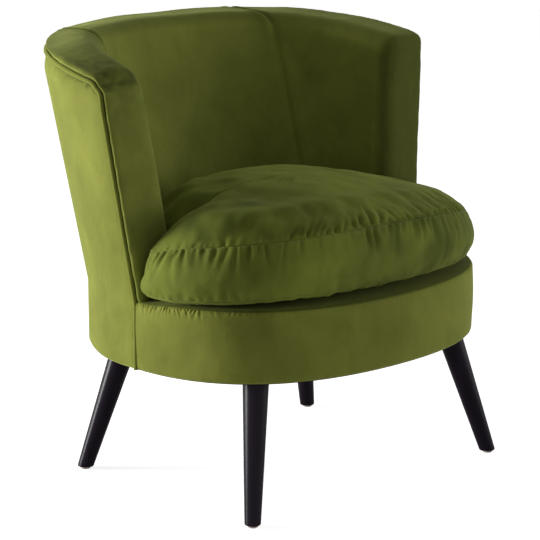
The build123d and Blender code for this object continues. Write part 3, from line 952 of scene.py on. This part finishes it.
def uneven_ends(points):
    """The +X shoulder is drawn in and the -X ear is fuller low down, as the cushion lies in the photo."""
    levels = (CUSHION_BASE, BOTTOM_SEAM, CUSHION_BASE + BULGE_RISE, TOP_SEAM, TOP_SEAM + 0.012)
    right = np.interp(points[:, 2], levels, (-0.002, -0.004, -0.007, -0.01, -0.01))
    left = np.interp(points[:, 2], levels, (0.004, 0.009, 0.005, 0.000, -0.005))
    outwards = points[:, :2] - (0, CUSHION_MIDDLE_Y)
    outwards /= np.maximum(np.linalg.norm(outwards, axis=1), 0.02)[:, None]
    return outwards * (right * around(points, 72, 52) + left * around(points, -78, 38))[:, None]


swollen = skin_of("swollen", CUSHION, 0.005)
z = coords(swollen)[:, 2]
bottom_held = bump_curve(z - BOTTOM_SEAM, 0.005) + (z < CUSHION_BASE + 0.004)
top_held = bump_curve(z - TOP_SEAM, 0.004)
swell(swollen, np.clip(bottom_held + top_held, 0, 1), pressure=4.0, slack=0.035, cap=0.01, frames=18)

tucks, row_sizes, fills, heights = np.array(cushion_rows()).T
sections = np.array([cushion_section(*row) for row in zip(tucks, row_sizes, fills)])
row_count, columns = sections.shape[:2]
points = np.dstack([sections, np.repeat(heights, columns).reshape(row_count, columns)]).reshape(-1, 3)
faces = grid_faces(row_count, columns, closed=True)
bottom_point, top_point = len(points), len(points) + 1
faces += fan(range(columns)[::-1], bottom_point) + fan(range(bottom_point - columns, bottom_point), top_point)
points = np.vstack([points, points[:columns].mean(0), points[-columns:].mean(0)])
cushion = mesh_object("seat_cushion", points, faces)
facing = outward_normals(cushion)

# how far the blown-up cloth stands off the plain form, read along the normals
swollen_tree = BVHTree.FromObject(swollen, bpy.context.evaluated_depsgraph_get())
reach = 0.016
stand_off = np.zeros(len(points))
for index, (point, direction) in enumerate(zip(points, facing)):
    outside_start = Vector(point + direction * reach)
    hit, _, _, distance = swollen_tree.ray_cast(outside_start, Vector(-direction), 2 * reach)
    if hit is not None:
        stand_off[index] = reach - distance
stand_off = np.clip(stand_off, -0.003, 0.011)
field = stand_off[:-2].reshape(row_count, columns)
for _ in range(6):
    field = (field + np.roll(field, 1, 1) + np.roll(field, -1, 1)) / 3
    field[1:-1] = (field[:-2] + 2 * field[1:-1] + field[2:]) / 4
at_seams = bump_curve(heights - TOP_SEAM, 0.003) + bump_curve(heights - BOTTOM_SEAM, 0.003)
field = field * (1 - np.clip(at_seams, 0, 1))[:, None]
field[heights < CUSHION_BASE + 0.0005] = 0

# gathers that hang from the top seam, short ones above it, and puckers at the bottom seam
seam_row = int(np.argmin(np.abs(heights - TOP_SEAM)))
seam_line = sections[seam_row]
along = arc_lengths(seam_line)
whole_way = along[-1] + np.linalg.norm(seam_line[0] - seam_line[-1])
along = np.where(along > whole_way / 2, along - whole_way, along)
draws = np.random.default_rng(17)
ungathered = field.copy()
over = arc_lengths(np.stack([row_sizes * CUSHION_REACH, heights], 1))
above_seam = over - over[seam_row]
# each span: start and end along the seam from the front middle, distance between gathers, depth
GATHER_SPANS = (
    (-0.47, -0.27, 0.0165, 0.0032),
    (-0.27, -0.1, 0.03, 0.0014),
    (-0.1, 0.14, 0.017, 0.0034),
    (0.14, 0.27, 0.026, 0.0018),
    (0.27, 0.47, 0.0165, 0.0032),
)
for start, end, pitch, depth in GATHER_SPANS:
    span = (start, end)
    gathers(field, along, TOP_SEAM - heights, span, pitch, 0.0028, depth, 0.036, 0.22, draws)
    gathers(field, along, above_seam, span, pitch * 0.8, 0.0028, depth * 0.4, 0.01, 0.3, draws)
    gathers(field, along, heights - BOTTOM_SEAM, span, pitch * 0.9, 0.0034, depth * 0.45, 0.016, 0.4, draws)
# the same with the gathers' length up the crown
CROWN_SPANS = (
    (-0.47, -0.3, 0.02, 0.0014, 0.02),
    (-0.3, -0.2, 0.016, 0.002, 0.028),
    (-0.2, 0.2, 0.012, 0.0036, 0.038),
    (0.2, 0.47, 0.015, 0.0024, 0.03),
)
for start, end, pitch, depth, length in CROWN_SPANS:
    gathers(field, along, above_seam, (start, end), pitch, 0.0038, depth, length, 0.35, draws, drift=0.08)
# how deep the gathers cut, used below for painted shade in their valleys
crease_shade = fade(ungathered - field, 0, 0.0016)
long_waves = 0.0012 * smooth_noise(points[:-2], 0.14, 31).reshape(field.shape)
field += long_waves * fade(heights, BOTTOM_SEAM, 0.02)[:, None]
crown_share = fade(heights - TOP_SEAM, 0.012, 0.02)[:, None]
field += 0.00054 * smooth_noise(points[:-2], 0.05, 33).reshape(field.shape) * crown_share
groove = 0.0021 * bump_curve(heights - TOP_SEAM, 0.0013) + 0.0019 * bump_curve(heights - BOTTOM_SEAM, 0.0012)
field -= groove[:, None]
stand_off[:-2] = field.ravel()
stand_off[-2:] = 0, field[-1].mean()
points = points + facing * stand_off[:, None]
x, y, z = points.T
lift = fade(z, BOTTOM_SEAM, TOP_SEAM - BOTTOM_SEAM)
point_sizes = np.append(np.repeat(row_sizes, columns), (0, 0))
under = np.interp(point_sizes, (0.75, 0.85, 0.92, 0.96, 0.985, 1), (0, 0.35, 0.7, 0.85, 0.95, 1))
raised = seam_lift(points) * lift * fade(z, TOP_SEAM + CROWN_FADE, -CROWN_FADE)
raised -= around(points, 70, 56) * (0.016 * lift + 0.42 * np.clip(z - TOP_SEAM, 0, None))
raised -= 0.55 * bump_curve(distance_to_ear(points), 0.06) * np.clip(z - TOP_SEAM, 0, None)
between = fade(y - WIDEST_Y, 0.004, 0.035) * fade(np.abs(x), 0.12, 0.06)
to_walls = 0.014 * between * lift * fade(point_sizes, 0.55, 0.35)
sideways = facing * (1, 1, 0)
sideways /= np.maximum(np.linalg.norm(sideways, axis=1), 0.2)[:, None]
lower = base_lift(points) * (1 - lift) * under
points[:, :2] += sideways[:, :2] * to_walls[:, None] + uneven_ends(points)

# the cloth runs over the necks behind the ears without a crease, more so the higher it lies
net = points[:-2].reshape(row_count, columns, 3)
by_neck = bump_curve(seam_line[:, 1] - WIDEST_Y - 0.005, 0.09) * (np.abs(seam_line[:, 0]) > 0.18)
settling = fade(above_seam, 0.004, 0.03)[:, None, None] * by_neck[None, :, None]
for _ in range(NECK_ROUNDS):
    net += settling * (np.roll(net, 1, 1) + np.roll(net, -1, 1) - 2 * net) / 4
points[:-2] = net.reshape(-1, 3)
points[:, 2] += raised + lower

# the boxing follows the zip's curved tape where the zip is sewn in
x, y, z = points.T
from_zip_axis = np.hypot(x, y - ZIP_CENTRE_Y)
from_zip_middle = np.degrees(np.abs(np.arctan2(x, y - ZIP_CENTRE_Y)))
by_zip = fade(from_zip_middle, ZIP_TURN + 2, -2.5) * fade(np.abs(z - ZIP_HEIGHT), 0.015, -0.006)
onto_arc = (ZIP_RADIUS - TAPE_PROUD) / from_zip_axis - 1
pull = 1 + smoothed(by_zip) * (from_zip_axis > ZIP_RADIUS - 0.03) * onto_arc
points[:, :2] = (points[:, :2] - (0, ZIP_CENTRE_Y)) * pull[:, None] + (0, ZIP_CENTRE_Y)
set_coords(cushion, points)
bpy.data.objects.remove(swollen)
# painted shade: the crown, most at -X where the wall shades it, both ends of the boxing, most at +X, and the
# gathers' valleys are darkened; patchy only varies how much
patchy = 0.75 + 0.35 * smooth_noise(points, 0.06, 71)
on_crown = np.append(np.repeat(fade(above_seam, 0, 0.012), columns), (0, 1))
crown_left = fade(x, -0.06, -0.12) * on_crown
crown_right = fade(x, -0.02, 0.1) * on_crown
side_right = fade(x, -0.14, 0.12) * (1 - on_crown)
side_left = fade(x, -0.2, -0.08) * (1 - on_crown)
shade_marks = (0.68 * crown_left + 0.28 * crown_right + 0.62 * side_right + 0.4 * side_left) * patchy
shade_marks = np.maximum(shade_marks, 0.6 * np.append(crease_shade.ravel(), (0, 0)))
mark_shade_and_nap(cushion, shade_marks)
dress(cushion, velvet_seat, "cushion")
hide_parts(*[name for name in CUSHION if name != "cushion_zip"])


STITCH_SINK = 0.0002
FROM_SEAM = 0.0021


def on_line(line, lengths, way):
    """The value at a way along a line of values."""
    return np.array([np.interp(way, lengths, line[:, axis]) for axis in range(3)])


def stitched_row(name, row_height, pitch, length, radius):
    """Small raised stitches along the cushion's row nearest to a height, each a six-sided spindle."""
    row = int(np.argmin(np.abs(heights - row_height)))
    outwards = normals(cushion)[row * columns : (row + 1) * columns]
    line = points[row * columns : (row + 1) * columns] - outwards * STITCH_SINK
    lengths = arc_lengths(line)
    corners, faces = [], []
    for middle in np.arange(pitch / 2, lengths[-1], pitch):
        first, last = (on_line(line, lengths, middle + side * length / 2) for side in (-1, 1))
        ahead = unit(last - first)
        out = on_line(outwards, lengths, middle)
        out = unit(out - ahead * (out @ ahead))
        across = np.cross(ahead, out)
        faces += bar_faces(len(corners), 4, 6)
        for share, size in ((0.0, 0.35), (0.25, 1.0), (0.75, 1.0), (1.0, 0.35)):
            for turn in np.linspace(0, 2 * pi, 6, endpoint=False):
                rim = cos(turn) * out + sin(turn) * across
                corners.append(first + (last - first) * share + radius * size * rim)
    return dress(mesh_object(name, corners, faces), thread, "cushion")


stitched_row("cushion_seam_stitches", TOP_SEAM - FROM_SEAM, pitch=0.0052, length=0.0032, radius=0.0005)
stitched_row("cushion_base_stitches", BOTTOM_SEAM + FROM_SEAM, pitch=0.0048, length=0.003, radius=0.00045)


def by_zip_arc(turn, out, height):
    """A point at an angle round the zip's arc, a distance outside it and a height over its middle."""
    reach = ZIP_RADIUS + out
    return reach * sin(turn), ZIP_CENTRE_Y + reach * cos(turn), ZIP_HEIGHT + height


# two tapes side by side along the cushion's rear edge
tape_turns = np.radians(np.linspace(-15, 15, 121))
corners, faces = [], []
for low, high in ((-0.0068, -0.0004), (0.0004, 0.0068)):
    lower_rim = [(-0.0012, low), (0.0001, low), (0.0005, low + 0.0006)]
    upper_rim = [(0.0005, high - 0.0006), (0.0001, high), (-0.0012, high)]
    faces += bar_faces(len(corners), len(tape_turns), 6)
    corners += [by_zip_arc(turn, *rim) for turn in tape_turns for rim in lower_rim + upper_rim]
zip_strip = mesh_object("zip_tape", corners, faces, smooth=False)
dress(zip_strip, tape, "cushion")
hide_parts("cushion_zip")

# closed teeth, by turns a little above and below the middle
TOOTH_PITCH, TOOTH_WIDTH, TOOTH_HEIGHT, TOOTH_DEPTH, TOOTH_SHIFT = 0.0015, 0.0011, 0.0028, 0.0011, 0.0004
corners, faces = [], []
for number, middle in enumerate(np.arange(radians(-14.6), radians(14.6), TOOTH_PITCH / ZIP_RADIUS)):
    shift = TOOTH_SHIFT if number % 2 else -TOOTH_SHIFT
    faces += bar_faces(len(corners), 2, 4)
    for out, narrowed in ((0, 1), (TOOTH_DEPTH, 0.75)):
        half_turn = TOOTH_WIDTH / 2 / ZIP_RADIUS * narrowed
        for side, end in ((-1, -1), (-1, 1), (1, 1), (1, -1)):
            corners.append(by_zip_arc(middle + side * half_turn, out, shift + end * TOOTH_HEIGHT / 2))
teeth = mesh_object("zip_teeth", corners, faces, smooth=False)
dress(teeth, antique, "cushion")

# ---- light, floor and camera
scene = bpy.context.scene
scene.view_settings.view_transform = "Standard"
world = bpy.data.worlds.new("studio")
scene.world = world
world.use_nodes = True
world_tree = world.node_tree
background = world_tree.nodes["Background"]
path_node = add(world_tree, "LightPath")
seen = add(world_tree, "Math", operation="MAXIMUM")
wire(path_node, "Is Camera Ray", seen, 0)
wire(path_node, "Is Glossy Ray", seen, 1)
plain = add(world_tree, "Background")
dial(plain, Color=(1, 1, 1, 1), Strength=1.0)
dial(background, Color=(1, 1, 1, 1), Strength=0.25)
blend = add(world_tree, "MixShader")
wire(seen, "Value", blend, "Fac")
wire(background, "Background", blend, 1)
wire(plain, "Background", blend, 2)
wire(blend, "Shader", world_tree.nodes["World Output"], "Surface")


def aim(obj, location, target):
    obj.location = location
    obj.rotation_euler = (Vector(target) - Vector(location)).to_track_quat("-Z", "Y").to_euler()
    return obj


def lamp(name, location, size, power):
    data = set_up(bpy.data.lights.new(name, "AREA"), shape="DISK", size=size, energy=power)
    return aim(link(bpy.data.objects.new(name, data)), location, (0, 0, 0.4))


lamp("key", (-3.05, 3.05, 0.8), size=1.4, power=236)
lamp("fill", (3.05, -2.65, 1.2), size=1.8, power=49)

floor = mesh_object("floor", [(-8, -8, 0), (8, -8, 0), (8, 8, 0), (-8, 8, 0)], [(0, 1, 2, 3)], smooth=False)
floor_material, floor_tree, floor_shader = new_material("floor")
dial(floor_shader, Base_Color=(0.93, 0.93, 0.93, 1), Roughness=0.9, Specular_IOR_Level=0.1)
floor_rays = add(floor_tree, "LightPath")
floor_glow = add(floor_tree, "Emission")
dial(floor_glow, Strength=0.75)
floor_sum = add(floor_tree, "AddShader")
floor_pick = add(floor_tree, "MixShader")
wire(floor_shader, "BSDF", floor_sum, 0)
wire(floor_glow, "Emission", floor_sum, 1)
wire(floor_rays, "Is Camera Ray", floor_pick, "Fac")
wire(floor_shader, "BSDF", floor_pick, 1)
wire(floor_sum, "Shader", floor_pick, 2)
wire(floor_pick, "Shader", floor_tree.nodes["Material Output"], "Surface")
floor.data.materials.append(floor_material)

camera_data = set_up(bpy.data.cameras.new("camera"), lens=160.4, sensor_width=36)
camera = link(bpy.data.objects.new("camera", camera_data))
scene.camera = aim(camera, (-2.892, -2.9265, 1.267), (0.0014, -0.024, 0.3385))
